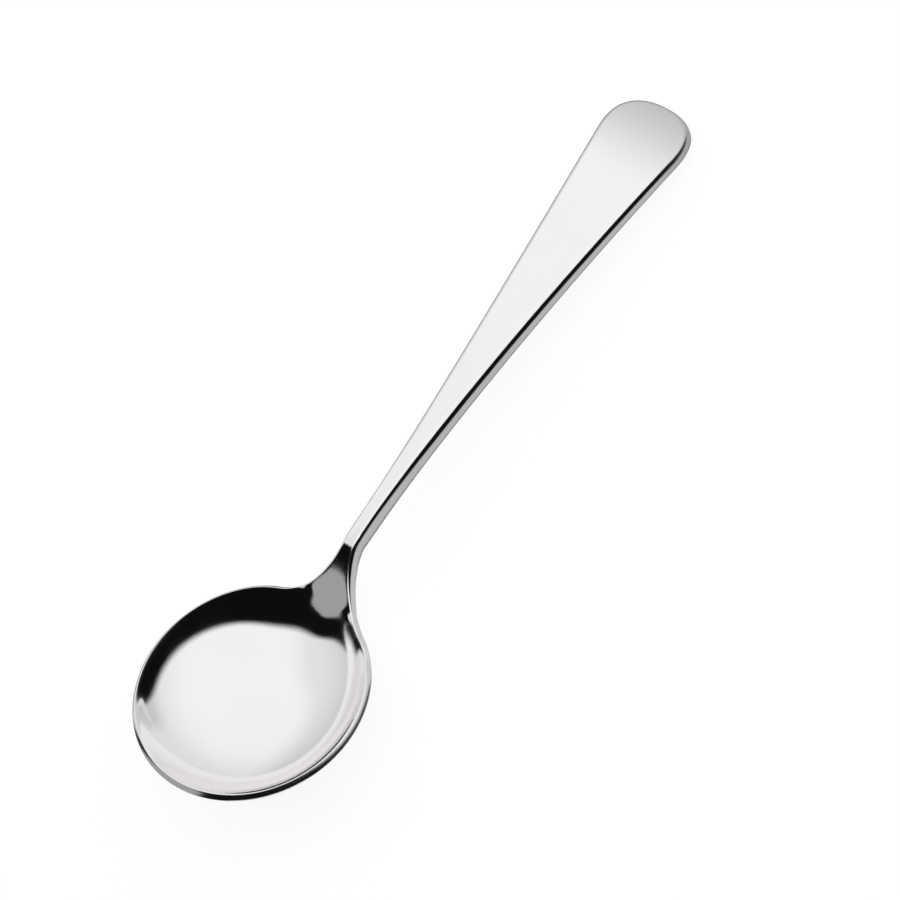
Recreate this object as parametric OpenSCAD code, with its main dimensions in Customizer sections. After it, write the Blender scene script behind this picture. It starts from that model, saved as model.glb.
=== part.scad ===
// Cupping spoon: a round bowl, a slim climbing neck and a flat handle that broadens to a rounded end.
// The real spoon is one pressing of polished steel. It is kept here as two sections, the bowl with its
// shoulders and the handle, which meet face to face across the neck with nothing added between them.
// Sizes are millimetres. The skin is worked out with the rim level and the bowl's centre at zero,
// then the spoon is laid down so that the bowl and the end of the handle rest on the table.

/* [Bowl] */
// Width of the bowl across the rim, outside to outside
bowl_w = 45; // [38:0.5:54]
// Length of the bowl along the spoon, outside to outside
bowl_len = 43.3; // [37:0.1:53]
// Depth of the bowl inside, from the rim to the floor
bowl_depth = 7.6; // [6:0.2:14]
// Fullness of the bowl: 2 is a plain dish, more is a flatter floor with steeper sides
bowl_fullness = 3.8; // [2.2:0.1:4.4]
// Thickness of the steel in the bowl
bowl_t = 1.2; // [0.9:0.05:1.6]
// Share by which the hollow is drawn out towards the neck
spout = 0.06; // [0:0.01:0.1]
// Softness of the edge between the hollow and the shoulders
roll_out = 0.57; // [0.2:0.01:1]

/* [Neck] */
// Width of the neck
neck_w = 3.6; // [2.8:0.1:6]
// Thickness of the neck
neck_t = 3.5; // [2.4:0.1:4]
// Distance from the bowl's edge to the start of the handle
neck_len = 12.5; // [9:0.1:18]
// Height of the handle over the rim at its start
neck_rise = 7.9; // [4:0.1:9]
// Angle of the climb out of the bowl, in degrees
climb_angle = 38; // [28:0.5:44]
// Distance inside the bowl's edge at which the climb leaves the rim
climb_in = 0.3; // [-1:0.1:2]
// Softness of the bend from the climb into the handle
neck_bend = 0.42; // [0.2:0.01:1]
// Radius of the shoulders, seen from above
shoulder_r = 16; // [10:0.2:20]

/* [Handle] */
// Length of the handle from its start to its end
handle_len = 91.4; // [75:0.1:130]
// Width of the handle where its end starts to round
handle_w = 18; // [10:0.1:22]
// Taper of the handle: 1 is straight, more keeps it slim for longer
handle_taper = 1.44; // [1.1:0.02:2.2]
// Angle of the handle to the rim at its start, in degrees
handle_angle = 11.5; // [6:0.1:14]
// Bow of the handle: how far its end falls below a straight line
handle_bow = 4; // [0:0.1:6]

/* [End] */
// Thickness of the handle at its end
end_t = 2.7; // [1.6:0.1:3.2]
// Length of the rounded end
end_len = 10.1; // [6:0.1:14]
// Shape of the end seen from above: 2 is an ellipse, more is squarer
end_square = 2.26; // [2:0.02:3.4]
// Length of the tip that turns down
tip_len = 12; // [10:0.5:40]
// Drop of the tip that turns down
tip_drop = 1.7; // [0:0.1:4]
// Width of the rounding along the handle's edges
edge_w = 1.3; // [0.5:0.05:1.4]
// Share of the handle's thickness that the rounding of its upper edges takes up
edge_share = 0.66; // [0.4:0.02:0.76]

/* [Hidden] */

steel = "silver";

// Steps along the outline and across the skin
fillet_steps = 12;
quarter_steps = 13;
tip_steps = 18;
bowl_rows = 12;
side_steps = 22;
end_steps = 12;
handle_rows = 3;
corner_steps = 4;

// Plan of the bowl and the neck
bowl_r = bowl_w / 2;
bowl_stretch = bowl_len / bowl_w;
neck_half = neck_w / 2;
neck_x = bowl_len / 2 + neck_len;
climb_x = bowl_len / 2 - climb_in;
climb_foot = 0.25;
fillet_reach = sqrt(pow(bowl_r + shoulder_r, 2) - pow(neck_half + shoulder_r, 2));
fillet_turn = atan2(neck_half + shoulder_r, fillet_reach);
fillet_x = bowl_stretch * fillet_reach;

// The face where the two sections meet, across the neck
meet_x = max(neck_x, fillet_x) + 1;

// Plan of the handle
end_x = neck_x + handle_len;
round_x = end_x - end_len;
tip_x = end_x - tip_len;

// The dish: its wall leaves the rim at wall_angle, and dish_r is where its inside meets the rim
wall_angle = atan(bowl_depth * bowl_fullness / bowl_r);
dish_r = bowl_r - bowl_t / 2 * (1 + sin(wall_angle));

// How narrow the drawn-out hollow is, and how much the wall is eased towards the neck
spout_slim = 20;
neck_ease = 0.25;

// A step from 0 to 1 with no corner at either end
function ease(t) =
    let (u = min(1, max(0, t)))
    u * u * u * (10 - 15 * u + 6 * u * u);

// The lower or the higher of two heights, with a soft bend where they cross
function lower_of(a, b, soft) = (a + b) / 2 - norm([(a - b) / 2, soft]);
function higher_of(a, b, soft) = (a + b) / 2 + norm([(a - b) / 2, soft]);

// Height of the handle's top over the rim
function handle_line(x) =
    let (v = max(x, bowl_len / 2))
    let (run = max(0, v - neck_x) / handle_len)
    let (tip = max(0, v - tip_x) / tip_len)
    neck_rise + (v - neck_x) * tan(handle_angle) - handle_bow * run * run - tip_drop * tip * tip * tip;

// Height of the rim, the climb and the handle along the spoon
function rim_line(x) =
    lower_of(higher_of((x - climb_x) * tan(climb_angle), 0, climb_foot), handle_line(x), neck_bend);

// The upper skin: the dish inside, drawn out towards the neck, and the rim, the climb and the handle around it
function top_z(x, y) =
    let (r = norm([x / bowl_stretch, y]))
    let (c = r > 0 ? max(0, x / bowl_stretch / r) : 0)
    let (reach = dish_r * (1 + spout * pow(c, spout_slim)))
    let (wall = bowl_depth * (pow(r / reach, bowl_fullness - neck_ease * pow(c, 6)) - 1))
    lower_of(rim_line(x), wall, 0.02 + roll_out * pow(c, 8));

// Its upward normal
function top_normal(x, y) =
    let (h = 0.002)
    let (gx = (top_z(x + h, y) - top_z(x - h, y)) / (2 * h))
    let (gy = (top_z(x, y + h) - top_z(x, y - h)) / (2 * h))
    [-gx, -gy, 1] / norm([gx, gy, 1]);

// Slope of the upper skin going outward, taken just inside point p
function edge_slope(p, o) =
    let (a = p - o * 0.15)
    let (b = p - o * 0.05)
    atan((top_z(b.x, b.y) - top_z(a.x, a.y)) / 0.1);

// Thickness of the steel along the spoon
function steel_t(x) =
    let (along = min(1, max(0, (x - meet_x) / (end_x - meet_x))))
    let (bar = neck_t + (end_t - neck_t) * along)
    bowl_t + (bar - bowl_t) * ease((x - 0.64 * bowl_r) / (meet_x + 1 - 0.64 * bowl_r));

// The edge: a full round on the rim, growing into a wider and higher upper rounding on the handle,
// which takes up to half of its half width
function edge_blend(x) = ease((x - 0.8 * bowl_r) / (meet_x - 0.8 * bowl_r));

function edge_wide(x) =
    let (full = 0.48 * steel_t(x))
    full + (min(edge_w, half_w(x) / 2) - full) * edge_blend(x);

function edge_high(x) = steel_t(x) * (0.48 + (edge_share - 0.48) * edge_blend(x));

// Half width of the handle before its end is rounded, and how fast it grows
function half_w(x) =
    let (u = max(0, x - meet_x) / (round_x - meet_x))
    neck_half + (handle_w / 2 - neck_half) * pow(u, handle_taper);

function half_growth(x) = (half_w(x + 0.01) - half_w(x - 0.01)) / 0.02;

// Outline points are [x, y, outward x, outward y], with y on the left side
function outline_point(p, o) = [p.x, p.y, o.x / norm(o), o.y / norm(o)];

function bowl_point(turn) =
    outline_point([bowl_len / 2 * cos(turn), bowl_r * sin(turn)], [cos(turn) / bowl_stretch, sin(turn)]);

function shoulder_point(turn) =
    outline_point(
        [bowl_stretch * (fillet_reach - shoulder_r * cos(turn)), neck_half + shoulder_r * (1 - sin(turn))],
        [cos(turn) / bowl_stretch, sin(turn)]
    );

function side_point(x) = outline_point([x, half_w(x)], [-half_growth(x), 1]);

function end_point(turn) =
    let (u = pow(max(0, sin(turn)), 2 / end_square))
    let (v = turn < 90 ? pow(cos(turn), 2 / end_square) : 0)
    let (x = round_x + end_len * u)
    let (w = half_w(x))
    let (ox = pow(u, end_square - 1) / end_len - pow(v, end_square) * half_growth(x) / w)
    outline_point([x, w * v], [ox, pow(v, end_square - 1) / w]);

// The left half of each outline, from the meeting face to the far tip
bowl_half = concat(
    [side_point(meet_x)],
    [for (i = [0 : fillet_steps - 1]) shoulder_point(90 + (fillet_turn - 90) * i / fillet_steps)],
    [for (i = [0 : quarter_steps - 1]) bowl_point(fillet_turn + (90 - fillet_turn) * i / quarter_steps)],
    [for (i = [0 : tip_steps]) bowl_point(90 + 90 * i / tip_steps)]
);

handle_half = concat(
    [for (i = [0 : side_steps - 1]) side_point(meet_x + (round_x - meet_x) * i / side_steps)],
    [for (i = [0 : end_steps]) end_point(90 * i / end_steps)]
);

function mirrored(p) = [p[0], -p[1], p[2], -p[3]];

// A half outline followed by its mirror image, round the tip and back
function round_trip(half) =
    concat(half, [for (i = [len(half) - 2 : -1 : 0]) mirrored(half[i])]);

// Where on the spoon's centre line the rib to an outline point starts
function rib_start(x) =
    x < 0 ? 0 : x < meet_x ? x * x / meet_x : min(x, round_x);

// One rib: out over the upper skin, round the edge and back along the under skin
function rib(b, rows) =
    let (o = [b[2], b[3]])
    let (t = steel_t(b[0]))
    let (c = edge_wide(b[0]))
    let (h = edge_high(b[0]))
    let (side = h + 0.04 * t)
    let (lean = max(0, sin(edge_slope([b[0], b[1]] - o * t, o))))
    let (p = [b[0], b[1]] - o * (c + (t - c) * lean))
    let (s = edge_slope(p, o))
    let (out = [o.x * cos(s), o.y * cos(s), sin(s)])
    let (up = top_normal(p.x - o.x * 0.1, p.y - o.y * 0.1))
    let (lip = upper_point(p))
    let (from = [rib_start(b[0]), 0])
    let (fans = b[0] <= 0 || b[0] >= round_x)
    let (shares = [for (j = [1 : rows - 1]) j / rows])
    let (over = [for (f = shares) [from.x + (p.x - from.x) * (fans ? f : f * f), p.y * f]])
    let (turns = [for (j = [0 : corner_steps]) 90 * j / corner_steps])
    concat(
        [for (v = over) upper_point(v)],
        [for (a = turns) lip + out * c * sin(a) - up * h * (1 - cos(a))],
        [for (a = turns) lip + out * c * cos(a) - up * (side + (t - side) * sin(a))],
        [for (j = [rows - 2 : -1 : 0]) under(over[j])]
    );

// The points of the upper and the under skin over a place on the plan
function upper_point(v) = [v.x, v.y, top_z(v.x, v.y)];

function under(v) = upper_point(v) - top_normal(v.x, v.y) * steel_t(v.x);

// How many ribs of a half start on the centre line before the point where the rest fan out
function centre_steps(half) =
    let (fan = rib_start(half[len(half) - 1][0]))
    len([for (b = half) if (abs(rib_start(b[0]) - fan) > 0.001) 1]);

// All corners of a skin: the ribs first, then the centre line's upper and under points,
// and last the middle of the meeting face
function skin_points(half, rows) =
    let (centre = [for (i = [0 : centre_steps(half)]) [rib_start(half[i][0]), 0]])
    concat(
        [for (b = round_trip(half)) each rib(b, rows)],
        [for (v = centre) upper_point(v)],
        [for (v = centre) under(v)],
        [(upper_point(centre[0]) + under(centre[0])) / 2]
    );

// The faces between neighbouring ribs, along the centre line, and across the meeting face
function skin_faces(half, rows) =
    let (ribs = 2 * len(half) - 1)
    let (n = 2 * (rows - 1) + 2 * (corner_steps + 1))
    let (steps = centre_steps(half))
    let (upper = ribs * n)
    let (lower = upper + steps + 1)
    let (middle = lower + steps + 1)
    let (centre = [for (i = [0 : ribs - 1]) min(i, ribs - 1 - i, steps)])
    let (face = concat(
        [upper],
        [for (k = [0 : n - 1]) k],
        [lower],
        [for (k = [n - 1 : -1 : 0]) (ribs - 1) * n + k]
    ))
    concat(
        [for (i = [0 : ribs - 2]) for (k = [0 : n - 2]) each [
            [i * n + k, (i + 1) * n + k, (i + 1) * n + k + 1],
            [i * n + k, (i + 1) * n + k + 1, i * n + k + 1]
        ]],
        [for (i = [0 : ribs - 2]) [upper + centre[i], (i + 1) * n, i * n]],
        [for (i = [0 : ribs - 2]) if (centre[i] != centre[i + 1])
            [upper + centre[i], upper + centre[i + 1], (i + 1) * n]],
        [for (i = [0 : ribs - 2]) [i * n + n - 1, (i + 1) * n + n - 1, lower + centre[i + 1]]],
        [for (i = [0 : ribs - 2]) if (centre[i] != centre[i + 1])
            [i * n + n - 1, lower + centre[i + 1], lower + centre[i]]],
        [for (k = [0 : len(face) - 1]) [middle, face[k], face[(k + 1) % len(face)]]]
    );

// The handle runs the other way round, so its faces are turned over
function turned_over(faces) = [for (f = faces) [for (i = [len(f) - 1 : -1 : 0]) f[i]]];

bowl_points = skin_points(bowl_half, bowl_rows);
handle_points = skin_points(handle_half, handle_rows);

// Laying the spoon down: the tilt at which bowl and handle touch the table together
function lowest(points, tilt) = min([for (p = points) p.z * cos(tilt) - p.x * sin(tilt)]);

function rest_tilt(low, high, turns) =
    let (mid = (low + high) / 2)
    turns == 0 ? mid
    : lowest(handle_points, mid) > lowest(bowl_points, mid) ? rest_tilt(mid, high, turns - 1)
    : rest_tilt(low, mid, turns - 1);

tilt = rest_tilt(-10, 40, 24);
lift = -min(lowest(bowl_points, tilt), lowest(handle_points, tilt));

// The spoon's length on the table, so that its middle stands over zero
laid_x = [for (p = concat(bowl_points, handle_points)) p.x * cos(tilt) + p.z * sin(tilt)];
middle_x = (min(laid_x) + max(laid_x)) / 2;

module laid_down() {
    translate([-middle_x, 0, lift])
        rotate([0, tilt, 0])
            children();
}

module bowl() {
    color(steel)
        laid_down()
            polyhedron(points = bowl_points, faces = skin_faces(bowl_half, bowl_rows), convexity = 6);
}

module handle() {
    color(steel)
        laid_down()
            polyhedron(
                points = handle_points,
                faces = turned_over(skin_faces(handle_half, handle_rows)),
                convexity = 4
            );
}

bowl();
handle();
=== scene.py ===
"""The looks of the cupping spoon: one pressing of polished steel that mirrors a plain white studio.

The spoon starts as a flat blank with shaped edges and is pressed by a node tree, which holds the same
rule as the solids: a dish under a rim line that climbs through the neck and runs out as the handle.
"""

import math

import bmesh
import bpy
import numpy as np
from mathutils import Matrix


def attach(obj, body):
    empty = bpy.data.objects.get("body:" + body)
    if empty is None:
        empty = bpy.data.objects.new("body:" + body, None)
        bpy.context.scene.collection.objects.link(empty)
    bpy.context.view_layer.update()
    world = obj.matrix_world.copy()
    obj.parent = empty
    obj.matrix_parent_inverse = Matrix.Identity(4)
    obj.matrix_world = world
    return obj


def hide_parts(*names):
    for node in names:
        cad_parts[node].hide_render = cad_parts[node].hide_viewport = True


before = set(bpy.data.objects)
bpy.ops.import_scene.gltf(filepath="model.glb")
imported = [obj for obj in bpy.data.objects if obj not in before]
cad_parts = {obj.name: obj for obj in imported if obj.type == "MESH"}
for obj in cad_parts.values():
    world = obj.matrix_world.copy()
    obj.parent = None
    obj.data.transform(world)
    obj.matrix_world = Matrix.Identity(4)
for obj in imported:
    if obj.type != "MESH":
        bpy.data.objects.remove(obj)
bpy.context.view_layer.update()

# Sizes of the spoon, in millimetres and degrees, with the rim level and the bowl's centre at zero
# Bowl: plan and depth, and how its wall runs out towards the neck
BOWL_W = 45.0
BOWL_LEN = 43.3
BOWL_DEPTH = 7.6
BOWL_FULLNESS = 3.8
BOWL_T = 1.2
SPOUT = 0.0545
SPOUT_SLIM = 17.4
NECK_EASE = 0.774
NECK_EASE_SLIM = 3.68
ROLL_OUT = 0.336
ROLL_SLIM = 11.25
ROLL_START = 1.6
RIM_BEND = 0.031

# Neck: its bar and its climb out of the rim
NECK_W = 3.6
NECK_T = 3.5
NECK_LEN = 12.5
NECK_RISE = 7.9
NECK_FLAT = 1.0
CLIMB_ANGLE = 38.0
CLIMB_IN = 0.577
CLIMB_FOOT = 0.25
NECK_BEND = 0.42
SHOULDER_R = 16.0

# Handle: its bowed bar and its rounded, turned-down end
HANDLE_LEN = 91.4
HANDLE_W = 18.0
HANDLE_TAPER = 1.44
HANDLE_ANGLE = 11.5
HANDLE_BOW = 4.0
END_T = 2.7
END_LEN = 10.1
END_SQUARE = 2.26
TIP_LEN = 12.0
TIP_DROP = 1.7

# Edges: rounded on the handle, bevelled outwards on the rim. All but the width are shares of the steel
EDGE_W = 1.3
EDGE_SHARE = 0.66
EDGE_LAND = 0.04
RIM_SHARE = 0.48
RIM_CORNER = 0.1
RIM_LEDGE = 0.2
RIM_LEAN = 0.2
RIM_LOWER = 0.2

# How the spoon lies on the table
TABLE_TILT = 13.2504
TABLE_LIFT = 10.525
TABLE_MIDDLE = 52.6047
MM = 0.001

# Plan of the blank
BOWL_R = BOWL_W / 2
STRETCH = BOWL_LEN / BOWL_W
NECK_HALF = NECK_W / 2
NECK_X = BOWL_LEN / 2 + NECK_LEN
FILLET_REACH = math.sqrt((BOWL_R + SHOULDER_R) ** 2 - (NECK_HALF + SHOULDER_R) ** 2)
FILLET_TURN = math.atan2(NECK_HALF + SHOULDER_R, FILLET_REACH)
MEET_X = max(NECK_X, STRETCH * FILLET_REACH) + NECK_FLAT
END_X = NECK_X + HANDLE_LEN
ROUND_X = END_X - END_LEN
WALL_ANGLE = math.atan(BOWL_DEPTH * BOWL_FULLNESS / BOWL_R)

# Where the steel thickens, the rim's bevel turns into the handle's round and the rim's lean falls away
THICKEN_FROM = 0.64 * BOWL_R
THICKEN_TO = MEET_X + NECK_FLAT
BEVEL_TO = 0.8 * BOWL_R
LEAN_TO = 0.87 * BOWL_R
LEAN_FALL = 0.53 * BOWL_R

# Steps of the blank: along the outline, then across it
TIP_STEPS = 110
SHOULDER_STEPS = 90
SIDE_STEPS = 70
END_STEPS = 36
ROWS = 56
CORNER_STEPS = 7

# Short steps for slopes and a floor for divisors, in millimetres, and what counts as one point, in metres
GROWTH_STEP = 0.01
SLOPE_STEP = 0.02
SLOPE_INSET = 0.1
TINY = 0.0001
WELD_WITHIN = 2e-6
SLIVER_UNDER = 1e-7


def ease(t):
    """A step from 0 to 1 with no corner at either end."""
    u = np.clip(t, 0, 1)
    return u * u * u * (10 - 15 * u + 6 * u * u)


def half_width(x):
    """Half width of the handle before its end is rounded."""
    u = np.maximum(0, x - MEET_X) / (ROUND_X - MEET_X)
    return NECK_HALF + (HANDLE_W / 2 - NECK_HALF) * u**HANDLE_TAPER


def half_growth(x):
    """How fast the half width grows along the handle."""
    return (half_width(x + GROWTH_STEP) - half_width(x - GROWTH_STEP)) / (2 * GROWTH_STEP)


def steel_thickness(x):
    """Thin round the bowl, thickest at the neck and a little thinner again at the handle's end."""
    along = np.clip((x - MEET_X) / (END_X - MEET_X), 0, 1)
    bar = NECK_T + (END_T - NECK_T) * along
    return BOWL_T + (bar - BOWL_T) * ease((x - THICKEN_FROM) / (THICKEN_TO - THICKEN_FROM))


def edge_blend(x):
    """0 on the rim, where the edge is bevelled outwards with small rounds, and 1 on the handle."""
    return ease((x - BEVEL_TO) / (MEET_X - BEVEL_TO))


def edge_wide(x, rim_share):
    """Width that the edge takes from the plan, with a share of the steel on the rim."""
    rim = rim_share * steel_thickness(x)
    return rim + (np.minimum(EDGE_W, half_width(x) / 2) - rim) * edge_blend(x)


def edge_high(x):
    """Height of the upper round."""
    return steel_thickness(x) * (RIM_CORNER + (EDGE_SHARE - RIM_CORNER) * edge_blend(x))


def edge_low(x):
    """Height of the lower round."""
    lower = 1 - EDGE_SHARE - EDGE_LAND
    return steel_thickness(x) * (RIM_LOWER + (lower - RIM_LOWER) * edge_blend(x))


def rim_lean(x):
    """Sine of the wall's slope at the edge: whole round the bowl, falling away along the shoulders."""
    return math.sin(WALL_ANGLE) * (1 - np.clip((x - LEAN_TO) / LEAN_FALL, 0, 1))


def blank_outline():
    """The left half of the outline, from the bowl's tip to the handle's end, with outward directions."""
    turn = np.linspace(math.pi, FILLET_TURN, TIP_STEPS + 1)
    bowl = np.stack([BOWL_LEN / 2 * np.cos(turn), BOWL_R * np.sin(turn)], 1)
    bowl_out = np.stack([np.cos(turn) / STRETCH, np.sin(turn)], 1)

    turn = np.linspace(FILLET_TURN, math.pi / 2, SHOULDER_STEPS + 1)[1:]
    shoulder = np.stack(
        [
            STRETCH * (FILLET_REACH - SHOULDER_R * np.cos(turn)),
            NECK_HALF + SHOULDER_R * (1 - np.sin(turn)),
        ],
        1,
    )
    shoulder_out = np.stack([np.cos(turn) / STRETCH, np.sin(turn)], 1)

    x = np.linspace(shoulder[-1, 0], ROUND_X, SIDE_STEPS + 1)[1:]
    side = np.stack([x, half_width(x)], 1)
    side_out = np.stack([-half_growth(x), np.ones_like(x)], 1)

    turn = np.linspace(0, math.pi / 2, END_STEPS + 1)[1:]
    u = np.sin(turn) ** (2 / END_SQUARE)
    v = np.maximum(np.cos(turn), 0) ** (2 / END_SQUARE)
    v[-1] = 0
    x = ROUND_X + END_LEN * u
    w = half_width(x)
    end = np.stack([x, w * v], 1)
    end_out = np.stack(
        [
            u ** (END_SQUARE - 1) / END_LEN - v**END_SQUARE * half_growth(x) / w,
            v ** (END_SQUARE - 1) / w,
        ],
        1,
    )
    points = np.concatenate([bowl, shoulder, side, end])
    out = np.concatenate([bowl_out, shoulder_out, side_out, end_out])
    return points, out / np.linalg.norm(out, axis=1, keepdims=True)


def blank_half():
    """One half of the blank, rib by rib: place on the plan, way outward, reach past the lip, depth."""
    outline, out = blank_outline()
    x = outline[:, 0]
    t, wide, high = steel_thickness(x), edge_wide(x, RIM_CORNER), edge_high(x)
    side = t - edge_low(x)
    on_rim = 1 - edge_blend(x)
    ledge = RIM_LEDGE * t * on_rim
    foot = wide + ledge - RIM_LEAN * (side - high) * on_rim
    inset = edge_wide(x, RIM_SHARE)
    lip = outline - out * (inset + (t - inset) * rim_lean(x))[:, None]

    # Rows across the blank, from its spine to the lip
    spine = np.where(x < 0, 0, np.where(x < MEET_X, x * x / MEET_X, np.minimum(x, ROUND_X)))
    fans = ((x <= 0) | (x >= ROUND_X))[:, None]
    f = np.arange(ROWS) / ROWS
    across = np.stack(
        [
            spine[:, None] + (lip[:, 0] - spine)[:, None] * np.where(fans, f, f * f),
            lip[:, 1][:, None] * f,
        ],
        -1,
    )

    # The upper skin, the edge's upper and lower rounds, and the underside back to the spine
    a = np.linspace(0, math.pi / 2, CORNER_STEPS + 1)
    edge_rows = 2 * len(a)
    none = np.zeros((len(x), ROWS))
    edge = np.repeat(lip[:, None], edge_rows, 1)
    place = np.concatenate([across, edge, across[:, ::-1]], 1)
    outward = np.zeros_like(place)
    outward[:, ROWS : ROWS + edge_rows] = out[:, None]
    reach = np.concatenate(
        [
            none,
            ledge[:, None] + wide[:, None] * np.sin(a),
            foot[:, None] * np.cos(a),
            none,
        ],
        1,
    )
    depth = np.concatenate(
        [
            none,
            high[:, None] * (1 - np.cos(a)),
            side[:, None] + (t - side)[:, None] * np.sin(a),
            steel_thickness(across[:, ::-1, 0]),
        ],
        1,
    )
    return place, outward, reach, depth


def make_blank():
    """The flat blank, both halves, with what the pressing and the finish need kept on its points."""
    place, outward, reach, depth = blank_half()
    ribs, n = reach.shape
    flip = np.array([1.0, -1.0])
    place = np.concatenate([place.reshape(-1, 2), (place * flip).reshape(-1, 2)])
    outward = np.concatenate([outward.reshape(-1, 2), (outward * flip).reshape(-1, 2)])
    points = np.zeros((len(place), 3))
    points[:, :2] = place
    grid = np.arange(ribs * n).reshape(ribs, n)
    a, b, c, d = grid[:-1, :-1], grid[1:, :-1], grid[1:, 1:], grid[:-1, 1:]
    left = np.stack([a, d, c, b], -1).reshape(-1, 4)
    right = np.stack([a, b, c, d], -1).reshape(-1, 4) + ribs * n
    mesh = bpy.data.meshes.new("spoon_blank")
    mesh.from_pydata(points.tolist(), [], np.concatenate([left, right]).tolist())
    for name, kind, values in (
        ("outward", "FLOAT_VECTOR", np.concatenate([outward, np.zeros((len(outward), 1))], 1)),
        ("reach", "FLOAT", np.tile(reach.reshape(-1), 2)),
        ("depth", "FLOAT", np.tile(depth.reshape(-1), 2)),
        ("edge_wear", "FLOAT", np.tile((reach > 0).reshape(-1), 2)),
    ):
        layer = mesh.attributes.new(name, kind, "POINT")
        field = "vector" if kind == "FLOAT_VECTOR" else "value"
        layer.data.foreach_set(field, np.ascontiguousarray(values, np.float32).ravel())
    return mesh


class Rule:
    """A number that a node tree works out, written as plain arithmetic."""

    def __init__(self, tree, socket):
        self.tree, self.socket = tree, socket

    def __add__(self, other):
        return work(self.tree, "ADD", self, other)

    def __radd__(self, other):
        return work(self.tree, "ADD", other, self)

    def __sub__(self, other):
        return work(self.tree, "SUBTRACT", self, other)

    def __rsub__(self, other):
        return work(self.tree, "SUBTRACT", other, self)

    def __mul__(self, other):
        return work(self.tree, "MULTIPLY", self, other)

    def __rmul__(self, other):
        return work(self.tree, "MULTIPLY", other, self)

    def __truediv__(self, other):
        return work(self.tree, "DIVIDE", self, other)

    def __rtruediv__(self, other):
        return work(self.tree, "DIVIDE", other, self)

    def __pow__(self, other):
        return work(self.tree, "POWER", self, other)


def work(tree, operation, *values):
    """One arithmetic node: numbers are set on it, and rules are linked to it."""
    node = tree.nodes.new("ShaderNodeMath")
    node.operation = operation
    for slot, value in zip(node.inputs, values):
        if isinstance(value, Rule):
            tree.links.new(value.socket, slot)
        else:
            slot.default_value = value
    return Rule(tree, node.outputs[0])


def least(a, b):
    return work(a.tree, "MINIMUM", a, b)


def most(a, b):
    return work(a.tree, "MAXIMUM", a, b)


def soft_part(a, b, soft):
    """How far a soft bend stands off from the corner where two heights cross."""
    half = work(a.tree, "ABSOLUTE", (a - b) * 0.5)
    return soft * soft / (work(a.tree, "SQRT", half * half + soft * soft) + half)


def lower_of(a, b, soft):
    """The lower of two heights, with a soft bend where they cross."""
    return least(a, b) - soft_part(a, b, soft)


def higher_of(a, b, soft):
    """The higher of two heights, with a soft bend where they cross."""
    return most(a, b) + soft_part(a, b, soft)


def soft_step(value, low, high, at_low=0.0, at_high=1.0):
    """A smooth passage between two levels as a shader's value goes from low to high."""
    node = value.tree.nodes.new("ShaderNodeMapRange")
    node.interpolation_type = "SMOOTHSTEP"
    node.inputs["From Min"].default_value = low
    node.inputs["From Max"].default_value = high
    node.inputs["To Min"].default_value = at_low
    node.inputs["To Max"].default_value = at_high
    value.tree.links.new(value.socket, node.inputs["Value"])
    return Rule(value.tree, node.outputs["Result"])


PRESSING_SIZES = {
    "Bowl Width": BOWL_W,
    "Bowl Length": BOWL_LEN,
    "Bowl Depth": BOWL_DEPTH,
    "Bowl Fullness": BOWL_FULLNESS,
    "Bowl Steel": BOWL_T,
    "Spout": SPOUT,
    "Spout Slim": SPOUT_SLIM,
    "Neck Ease": NECK_EASE,
    "Neck Ease Slim": NECK_EASE_SLIM,
    "Roll Out": ROLL_OUT,
    "Roll Slim": ROLL_SLIM,
    "Roll Start": ROLL_START,
    "Rim Bend": RIM_BEND,
    "Neck Length": NECK_LEN,
    "Neck Rise": NECK_RISE,
    "Climb Angle": CLIMB_ANGLE,
    "Climb In": CLIMB_IN,
    "Climb Foot": CLIMB_FOOT,
    "Neck Bend": NECK_BEND,
    "Handle Length": HANDLE_LEN,
    "Handle Angle": HANDLE_ANGLE,
    "Handle Bow": HANDLE_BOW,
    "Tip Length": TIP_LEN,
    "Tip Drop": TIP_DROP,
}
LAYING_SIZES = {
    "Table Tilt": TABLE_TILT,
    "Table Lift": TABLE_LIFT,
    "Table Middle": TABLE_MIDDLE,
}


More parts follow.
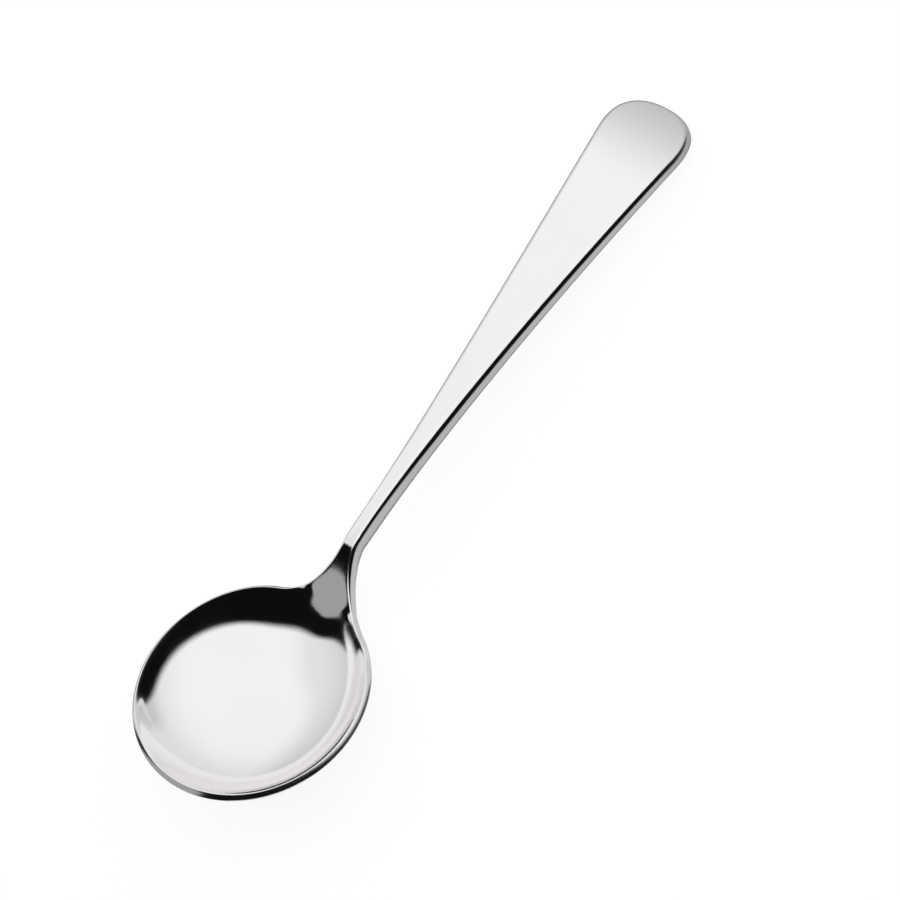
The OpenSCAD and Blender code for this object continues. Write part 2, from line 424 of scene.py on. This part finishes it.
def height_rule():
    """The node group that gives the height of the upper skin over any place on the blank."""
    tree = bpy.data.node_groups.new("spoon_height", "GeometryNodeTree")
    names = ["X", "Y", *PRESSING_SIZES]
    for name in names:
        tree.interface.new_socket(name=name, in_out="INPUT", socket_type="NodeSocketFloat")
    tree.interface.new_socket(name="Height", in_out="OUTPUT", socket_type="NodeSocketFloat")
    start = tree.nodes.new("NodeGroupInput")
    size = {name: Rule(tree, start.outputs[name]) for name in names}
    x, y = size["X"], size["Y"]

    def grade(name):
        return work(tree, "TANGENT", work(tree, "RADIANS", size[name]))

    # The handle's bowed line, with the tip that turns down
    half_len = size["Bowl Length"] * 0.5
    neck_x = half_len + size["Neck Length"]
    past_neck = most(x, half_len) - neck_x
    run = most(past_neck, 0.0) / size["Handle Length"]
    past_tip = past_neck - size["Handle Length"] + size["Tip Length"]
    tip = most(past_tip, 0.0) / size["Tip Length"]
    slanted = size["Neck Rise"] + past_neck * grade("Handle Angle")
    handle_line = slanted - size["Handle Bow"] * run * run - size["Tip Drop"] * tip * tip * tip

    # The rim line: level round the bowl, then a straight climb that bends into the handle
    climb = (x - half_len + size["Climb In"]) * grade("Climb Angle")
    rim = higher_of(climb, 0.0, size["Climb Foot"])
    rim_line = lower_of(rim, handle_line, size["Neck Bend"])

    # The dish under it, drawn out towards the neck and rolled over onto the shoulders
    bowl_r = size["Bowl Width"] * 0.5
    wall_angle = work(tree, "ARCTANGENT", size["Bowl Depth"] * size["Bowl Fullness"] / bowl_r)
    dish_r = bowl_r - size["Bowl Steel"] * 0.5 * (1.0 + work(tree, "SINE", wall_angle))
    along = x * size["Bowl Width"] / size["Bowl Length"]
    r = most(work(tree, "SQRT", along * along + y * y), TINY)
    facing = most(along / r, 0.0)
    reach = dish_r * (1.0 + size["Spout"] * facing ** size["Spout Slim"])
    fullness = size["Bowl Fullness"] - size["Neck Ease"] * facing ** size["Neck Ease Slim"]
    wall = size["Bowl Depth"] * ((r / reach) ** fullness - 1.0)
    up_wall = least(r / reach * size["Roll Start"], 1.0)
    roll = size["Roll Out"] * facing ** size["Roll Slim"] * up_wall * up_wall
    dish = lower_of(rim_line, wall, size["Rim Bend"] + roll)

    end = tree.nodes.new("NodeGroupOutput")
    tree.links.new(dish.socket, end.inputs["Height"])
    return tree


def pressing_tree():
    """The node tree that presses the blank: height, thickness and edge at each point, then laid down."""
    tree = bpy.data.node_groups.new("press_spoon", "GeometryNodeTree")
    tree.interface.new_socket(name="Blank", in_out="INPUT", socket_type="NodeSocketGeometry")
    for name in (*PRESSING_SIZES, *LAYING_SIZES):
        tree.interface.new_socket(name=name, in_out="INPUT", socket_type="NodeSocketFloat")
    tree.interface.new_socket(name="Steel", in_out="INPUT", socket_type="NodeSocketMaterial")
    tree.interface.new_socket(name="Spoon", in_out="OUTPUT", socket_type="NodeSocketGeometry")
    start = tree.nodes.new("NodeGroupInput")
    laying = {name: Rule(tree, start.outputs[name]) for name in LAYING_SIZES}
    rule = height_rule()

    def split(socket):
        node = tree.nodes.new("ShaderNodeSeparateXYZ")
        tree.links.new(socket, node.inputs[0])
        return [Rule(tree, s) for s in node.outputs]

    def join(*parts):
        node = tree.nodes.new("ShaderNodeCombineXYZ")
        for slot, part in zip(node.inputs, parts):
            tree.links.new(part.socket, slot)
        return node.outputs[0]

    def kept(name, kind):
        node = tree.nodes.new("GeometryNodeInputNamedAttribute")
        node.data_type = kind
        node.inputs["Name"].default_value = name
        return node.outputs["Attribute"]

    def height(x, y):
        node = tree.nodes.new("GeometryNodeGroup")
        node.node_tree = rule
        tree.links.new(x.socket, node.inputs["X"])
        tree.links.new(y.socket, node.inputs["Y"])
        for name in PRESSING_SIZES:
            tree.links.new(start.outputs[name], node.inputs[name])
        return Rule(tree, node.outputs["Height"])

    x, y, _ = split(tree.nodes.new("GeometryNodeInputPosition").outputs[0])
    out_x, out_y, _ = split(kept("outward", "FLOAT_VECTOR"))
    reach = Rule(tree, kept("reach", "FLOAT"))
    depth = Rule(tree, kept("depth", "FLOAT"))

    # The skin's slope, taken just inside the lip where there is one
    ax, ay = x - out_x * SLOPE_INSET, y - out_y * SLOPE_INSET
    gx = (height(ax + SLOPE_STEP, ay) - height(ax - SLOPE_STEP, ay)) / (2 * SLOPE_STEP)
    gy = (height(ax, ay + SLOPE_STEP) - height(ax, ay - SLOPE_STEP)) / (2 * SLOPE_STEP)
    steep = work(tree, "SQRT", gx * gx + gy * gy + 1.0)
    up = [gx * -1.0 / steep, gy * -1.0 / steep, 1.0 / steep]
    rise = gx * out_x + gy * out_y
    long = most(work(tree, "SQRT", out_x * out_x + out_y * out_y + rise * rise), TINY)
    out = [out_x / long, out_y / long, rise / long]
    base = [x, y, height(x, y)]
    pressed = [b + o * reach - u * depth for b, o, u in zip(base, out, up)]

    # Tilted and lifted onto the table, in metres
    turn = tree.nodes.new("ShaderNodeVectorRotate")
    turn.rotation_type = "Y_AXIS"
    tree.links.new(join(*pressed), turn.inputs["Vector"])
    tilt = work(tree, "RADIANS", laying["Table Tilt"])
    tree.links.new(tilt.socket, turn.inputs["Angle"])
    lx, ly, lz = split(turn.outputs[0])
    laid = join((lx - laying["Table Middle"]) * MM, ly * MM, (lz + laying["Table Lift"]) * MM)

    place = tree.nodes.new("GeometryNodeSetPosition")
    tree.links.new(start.outputs["Blank"], place.inputs["Geometry"])
    tree.links.new(laid, place.inputs["Position"])
    smooth = tree.nodes.new("GeometryNodeSetShadeSmooth")
    tree.links.new(place.outputs[0], smooth.inputs[0])
    real = tree.nodes.new("GeometryNodeRealizeInstances")
    tree.links.new(smooth.outputs[0], real.inputs[0])
    paint = tree.nodes.new("GeometryNodeSetMaterial")
    tree.links.new(real.outputs[0], paint.inputs["Geometry"])
    tree.links.new(start.outputs["Steel"], paint.inputs["Material"])
    end = tree.nodes.new("NodeGroupOutput")
    tree.links.new(paint.outputs[0], end.inputs["Spoon"])
    return tree


def press_spoon(steel):
    """Runs the pressing on the blank and returns the spoon as a plain, closed mesh object."""
    blank = bpy.data.objects.new("spoon_blank", make_blank())
    bpy.context.scene.collection.objects.link(blank)
    press = blank.modifiers.new("press", "NODES")
    press.node_group = pressing_tree()
    values = {**PRESSING_SIZES, **LAYING_SIZES, "Steel": steel}
    for item in press.node_group.interface.items_tree:
        if item.in_out == "INPUT" and item.name in values:
            press[item.identifier] = values[item.name]
    evaluated = blank.evaluated_get(bpy.context.evaluated_depsgraph_get())
    mesh = bpy.data.meshes.new_from_object(evaluated)
    blank.modifiers.remove(press)
    bpy.data.objects.remove(blank)

    mesh.name = "spoon"
    work_mesh = bmesh.new()
    work_mesh.from_mesh(mesh)
    bmesh.ops.remove_doubles(work_mesh, verts=work_mesh.verts, dist=WELD_WITHIN)
    bmesh.ops.dissolve_degenerate(work_mesh, edges=work_mesh.edges, dist=SLIVER_UNDER)
    bmesh.ops.recalc_face_normals(work_mesh, faces=work_mesh.faces)
    for face in work_mesh.faces:
        face.smooth = True
    work_mesh.to_mesh(mesh)
    work_mesh.free()

    # Only edge_wear stays on the mesh, because the steel's finish reads it
    for name in ("outward", "reach", "depth"):
        if name in mesh.attributes:
            mesh.attributes.remove(mesh.attributes[name])
    spoon = bpy.data.objects.new("spoon", mesh)
    bpy.context.scene.collection.objects.link(spoon)
    return spoon


# The steel's finish: its tint and smears, the wheel's hairlines, worn edges, and a rougher tip whose colour
# is darkened as painted shade
TINT_DRIFT = {"scale": 60.0, "detail": 3.0}
TINT_DEEP = (0.885, 0.872, 0.881, 1)
TINT_PALE = (0.930, 0.917, 0.926, 1)
SMEARS = {"scale": 140.0, "detail": 5.0, "from": 0.3, "to": 0.75}
POLISH_CLEAN = 0.05
POLISH_SMEARED = 0.085
HAIRLINES = {"scale": 1.0, "detail": 2.0}
HAIRLINE_STRETCH = (150.0, 5200.0, 5200.0)
HAIRLINE_STRENGTH = 0.02
HAIRLINE_DEPTH = 0.0002
EDGE_ROUGH = 0.06
TIP_DULL_AND_SHADE_FROM = 0.058
TIP_DULL_AND_SHADE_TO = 0.073
# Painted shade: a darker grey for the colour of the handle's tip
TIP_PAINTED_SHADE_TINT = (0.61, 0.596, 0.61, 1)
TIP_ROUGH = 0.16


def polished_steel():
    """Mirror-polished stainless steel: faint colour drift, soft smears, and hairlines left by the wheel."""
    steel = bpy.data.materials.new("polished_steel")
    steel.use_nodes = True
    tree = steel.node_tree
    nodes, links = tree.nodes, tree.links
    shader = nodes["Principled BSDF"]
    shader.inputs["Metallic"].default_value = 1.0
    place = nodes.new("ShaderNodeTexCoord")

    def noise(grain, where):
        node = nodes.new("ShaderNodeTexNoise")
        node.inputs["Scale"].default_value = grain["scale"]
        node.inputs["Detail"].default_value = grain["detail"]
        links.new(where, node.inputs["Vector"])
        return node.outputs["Fac"]

    tint = nodes.new("ShaderNodeValToRGB")
    tint.color_ramp.elements[0].color = TINT_DEEP
    tint.color_ramp.elements[1].color = TINT_PALE
    links.new(noise(TINT_DRIFT, place.outputs["Object"]), tint.inputs["Fac"])

    smear = Rule(tree, noise(SMEARS, place.outputs["Object"]))
    polish = soft_step(smear, SMEARS["from"], SMEARS["to"], POLISH_CLEAN, POLISH_SMEARED)

    # The handle's tip gets a rougher polish and a painted shade that darkens its colour, and the edges are
    # worn by the wheel
    parts = nodes.new("ShaderNodeSeparateXYZ")
    links.new(place.outputs["Object"], parts.inputs[0])
    tip_dull_and_shade = soft_step(Rule(tree, parts.outputs["X"]), TIP_DULL_AND_SHADE_FROM, TIP_DULL_AND_SHADE_TO)
    # Painted shade: the tip's colour is mixed towards a darker grey
    tip_shade_mix = nodes.new("ShaderNodeMix")
    tip_shade_mix.data_type = "RGBA"
    links.new(tip_dull_and_shade.socket, tip_shade_mix.inputs["Factor"])
    links.new(tint.outputs["Color"], tip_shade_mix.inputs["A"])
    tip_shade_mix.inputs["B"].default_value = TIP_PAINTED_SHADE_TINT
    links.new(tip_shade_mix.outputs["Result"], shader.inputs["Base Color"])
    edge = nodes.new("ShaderNodeAttribute")
    edge.attribute_name = "edge_wear"
    worn = Rule(tree, edge.outputs["Fac"])
    rough = polish + worn * EDGE_ROUGH + tip_dull_and_shade * TIP_ROUGH
    links.new(rough.socket, shader.inputs["Roughness"])

    stretch = nodes.new("ShaderNodeMapping")
    stretch.inputs["Scale"].default_value = HAIRLINE_STRETCH
    links.new(place.outputs["Object"], stretch.inputs["Vector"])
    bump = nodes.new("ShaderNodeBump")
    bump.inputs["Strength"].default_value = HAIRLINE_STRENGTH
    bump.inputs["Distance"].default_value = HAIRLINE_DEPTH
    links.new(noise(HAIRLINES, stretch.outputs["Vector"]), bump.inputs["Height"])
    links.new(bump.outputs["Normal"], shader.inputs["Normal"])
    return steel


# The studio, as the steel sees it by direction. Turns and rises are degrees, other places are cosines or
# heights on a unit ball, and levels are shares of white.
# A white ceiling joined to a white wall behind the handle, greyer low down and towards two sides
CEILING = {"turn": 2.0, "rise": 63.6, "edge": 0.6305, "soft": 0.09}
WALL = {"turn": 47.7, "rise": 15.8, "edge": 0.4465, "soft": 0.03}
WHITE_JOIN = 2.41
WHITE_FADE = 0.65
WHITE_LOW = 0.795
WHITE_HIGH = 0.985
WHITE_TOP = 0.844
SHADED_RIGHT = {"turn": 120.0, "from": 0.33, "to": 0.6, "loss": 0.15}
SHADED_LEFT = {"turn": -50.0, "from": 0.57, "to": 0.77, "loss": 0.182}
SHADED_UP_TO = 0.35

# A grey card with three edges beyond the bowl's tip, and a low white screen in front of it
CARD_EDGES = ((-0.790, -0.437, -0.4315), (-0.630, 0.1166, -0.768), (0.311, 0.9504, 0.0))
CARD_LIMITS = (-0.027, -0.034, -0.017)
CARD_ROUND = 0.035
CARD_SOFT = 0.01
CARD_GREY = 0.37
LOW_SCREEN = {"turn": -142.0, "from": 0.83, "to": 0.87, "top": 0.3, "soft": 0.06, "white": 0.75}

# A pale table, shaded straight below and darker towards the bowl, with a shadow on its far side
TABLE_PALE = 0.5
TABLE_NEAR = 0.29
TABLE_FAR = 0.1
TABLE_SHADE = {"from": 0.72, "to": 1.0, "loss": 0.3}
TABLE_SLANT = 0.12
FAR_SHADOW = {"turn": 66.0, "rise": -27.0, "from": 0.9, "to": 0.95, "loss": 0.9}
ROOM_DARK = 0.004


def towards(turn, rise):
    """The unit vector at a turn about +Z and a rise over the table."""
    turn, rise = math.radians(turn), math.radians(rise)
    return (math.cos(rise) * math.cos(turn), math.cos(rise) * math.sin(turn), math.sin(rise))


def studio_world():
    """The studio as a world by direction, and plain white where the camera looks past the spoon."""
    world = bpy.data.worlds.new("studio")
    bpy.context.scene.world = world
    world.use_nodes = True
    tree = world.node_tree
    nodes, links = tree.nodes, tree.links
    sky = nodes["Background"]
    sky.inputs["Color"].default_value = (1, 1, 1, 1)
    place = nodes.new("ShaderNodeTexCoord")
    parts = nodes.new("ShaderNodeSeparateXYZ")
    links.new(place.outputs["Generated"], parts.inputs[0])
    onward, rise = Rule(tree, parts.outputs["X"]), Rule(tree, parts.outputs["Z"])
    drop = rise * -1.0

    def along(axis):
        node = nodes.new("ShaderNodeVectorMath")
        node.operation = "DOT_PRODUCT"
        node.inputs[1].default_value = axis
        links.new(place.outputs["Generated"], node.inputs[0])
        return Rule(tree, node.outputs["Value"])

    def inside(panel):
        return (along(towards(panel["turn"], panel["rise"])) - panel["edge"]) / panel["soft"]

    def within(patch):
        return soft_step(along(towards(patch["turn"], patch.get("rise", 0.0))), patch["from"], patch["to"])

    # Ceiling and wall
    white = soft_step(higher_of(inside(CEILING), inside(WALL), WHITE_JOIN), -WHITE_FADE, WHITE_FADE)
    level = WHITE_LOW + (WHITE_HIGH - WHITE_LOW) * soft_step(rise, 0.0, WHITE_TOP)
    low_down = 1.0 - soft_step(rise, 0.0, SHADED_UP_TO)
    right_loss = within(SHADED_RIGHT) * SHADED_RIGHT["loss"]
    left_loss = within(SHADED_LEFT) * SHADED_LEFT["loss"] * low_down
    lit = white * (level - right_loss - left_loss)

    # Card and screen
    first, second, third = [along(edge) - limit for edge, limit in zip(CARD_EDGES, CARD_LIMITS)]
    card = lower_of(lower_of(first, second, CARD_ROUND), third, CARD_ROUND)
    card = soft_step(card, -CARD_SOFT, CARD_SOFT)
    screen_foot = LOW_SCREEN["top"] - LOW_SCREEN["soft"]
    screen = within(LOW_SCREEN) * (1.0 - soft_step(rise, screen_foot, LOW_SCREEN["top"]))
    lit = most(most(lit, card * CARD_GREY), most(screen * LOW_SCREEN["white"], ROOM_DARK))

    # Table
    table = TABLE_PALE + TABLE_SLANT * onward
    table = table - soft_step(drop, TABLE_SHADE["from"], TABLE_SHADE["to"]) * TABLE_SHADE["loss"]
    lit = lit + (table - lit) * soft_step(drop, TABLE_FAR, TABLE_NEAR)
    lit = lit * (1.0 - within(FAR_SHADOW) * FAR_SHADOW["loss"])

    path = nodes.new("ShaderNodeLightPath")
    seen = nodes.new("ShaderNodeMix")
    seen.data_type = "FLOAT"
    seen.inputs["B"].default_value = 1.0
    links.new(path.outputs["Is Camera Ray"], seen.inputs["Factor"])
    links.new(lit.socket, seen.inputs["A"])
    links.new(seen.outputs["Result"], sky.inputs["Strength"])


# The floor, in metres, and how much of its white is left to light and shadow
FLOOR_HALF = 1.5
FLOOR_PALE = 0.8
FLOOR_SHADE_SHARE = 0.22
FLOOR_LIGHT_SHARE = 0.6


def studio_floor():
    """A plain pale floor, white with a faint shadow. The steel sees the studio's table in its place."""
    mesh = bpy.data.meshes.new("floor")
    h = FLOOR_HALF
    mesh.from_pydata([(-h, -h, 0), (h, -h, 0), (h, h, 0), (-h, h, 0)], [], [(0, 1, 2, 3)])
    floor = bpy.data.objects.new("floor", mesh)
    bpy.context.scene.collection.objects.link(floor)
    paint = bpy.data.materials.new("pale_floor")
    paint.use_nodes = True
    nodes, links = paint.node_tree.nodes, paint.node_tree.links
    nodes.remove(nodes["Principled BSDF"])
    out = nodes["Material Output"]
    shade = nodes.new("ShaderNodeBsdfDiffuse")
    pale = FLOOR_PALE * FLOOR_SHADE_SHARE
    shade.inputs["Color"].default_value = (pale, pale, pale, 1)
    path = nodes.new("ShaderNodeLightPath")
    glow = nodes.new("ShaderNodeEmission")
    glow.inputs["Color"].default_value = (1, 1, 1, 1)
    glow.inputs["Strength"].default_value = 1.0 - FLOOR_LIGHT_SHARE * pale
    both = nodes.new("ShaderNodeAddShader")
    links.new(shade.outputs[0], both.inputs[0])
    links.new(glow.outputs[0], both.inputs[1])
    clear = nodes.new("ShaderNodeBsdfTransparent")
    seen = nodes.new("ShaderNodeMixShader")
    links.new(path.outputs["Is Camera Ray"], seen.inputs["Fac"])
    links.new(clear.outputs[0], seen.inputs[1])
    links.new(both.outputs[0], seen.inputs[2])
    links.new(seen.outputs[0], out.inputs["Surface"])
    mesh.materials.append(paint)


# The camera, in metres, degrees and millimetres of film
CAMERA_PLACE = (-0.06917, -0.55868, 0.82601)
CAMERA_TURN = (23.4097, 25.7843, -52.4099)
CAMERA_LENS = 226.886
CAMERA_FILM = 36.0


def photo_camera():
    """The camera at the photograph's viewing angle."""
    data = bpy.data.cameras.new("camera")
    data.lens = CAMERA_LENS
    data.sensor_width = CAMERA_FILM
    camera = bpy.data.objects.new("camera", data)
    camera.location = CAMERA_PLACE
    camera.rotation_euler = [math.radians(a) for a in CAMERA_TURN]
    bpy.context.scene.collection.objects.link(camera)
    bpy.context.scene.camera = camera


bpy.context.scene.view_settings.view_transform = "Standard"
photo_camera()
studio_world()
studio_floor()

spoon = press_spoon(polished_steel())
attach(spoon, "root")
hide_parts("bowl", "handle")
